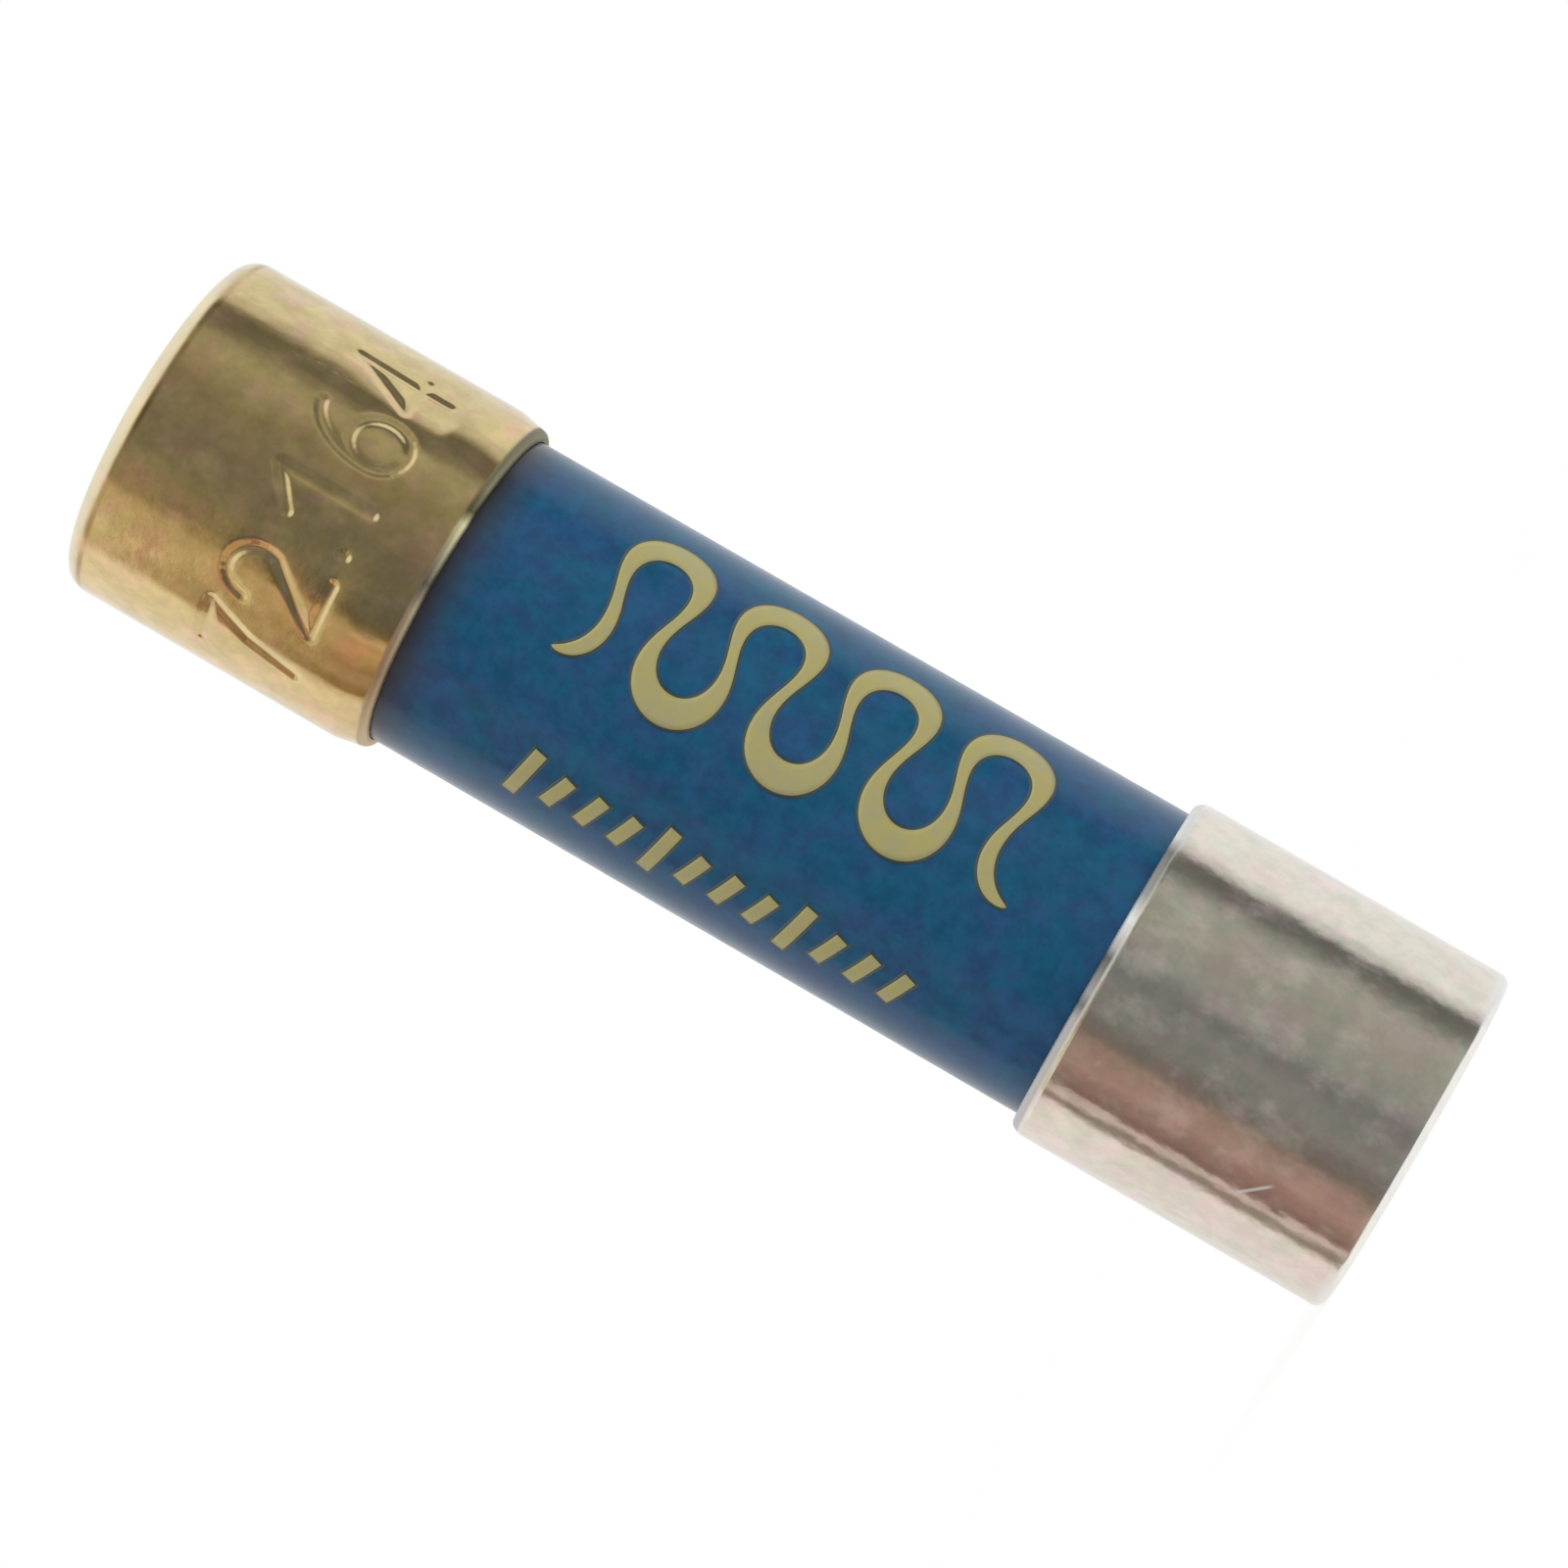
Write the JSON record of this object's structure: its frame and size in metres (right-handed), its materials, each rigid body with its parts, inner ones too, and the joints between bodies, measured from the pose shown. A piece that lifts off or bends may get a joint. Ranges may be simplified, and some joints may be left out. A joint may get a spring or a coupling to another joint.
{
  "type": "cartridge fuse-link",
  "caption": "Miniature cylindrical fuse-link: coated ceramic tube with a gold-plated and a silver-plated contact cap and a wound time-lag element inside.",
  "frame": {"origin": "centre of the silver cap's end face, on which the fuse stands", "axes": "+Z along the fuse's axis, from the silver cap to the gold cap; +X and +Y are square to it"},
  "size_m": [0.0052, 0.0052, 0.02],
  "materials": {
    "ceramic_tube": "deep blue coat over white ceramic, glossy",
    "gold_plate": "gold plate on drawn brass, polished",
    "silver_plate": "silver plate on drawn brass, polished",
    "solder": "tin solder, dull",
    "core_yarn": "white insulating yarn, fired stiff",
    "fuse_wire": "tinned copper-alloy wire"
  },
  "bodies": {
    "root": {"ceramic_tube": "ceramic_tube", "gold_end_cap": "gold_plate", "silver_end_cap": "silver_plate", "solder_gold_end": "solder", "solder_silver_end": "solder", "element_core": "core_yarn", "element_winding": "fuse_wire"}
  },
  "joints": []
}
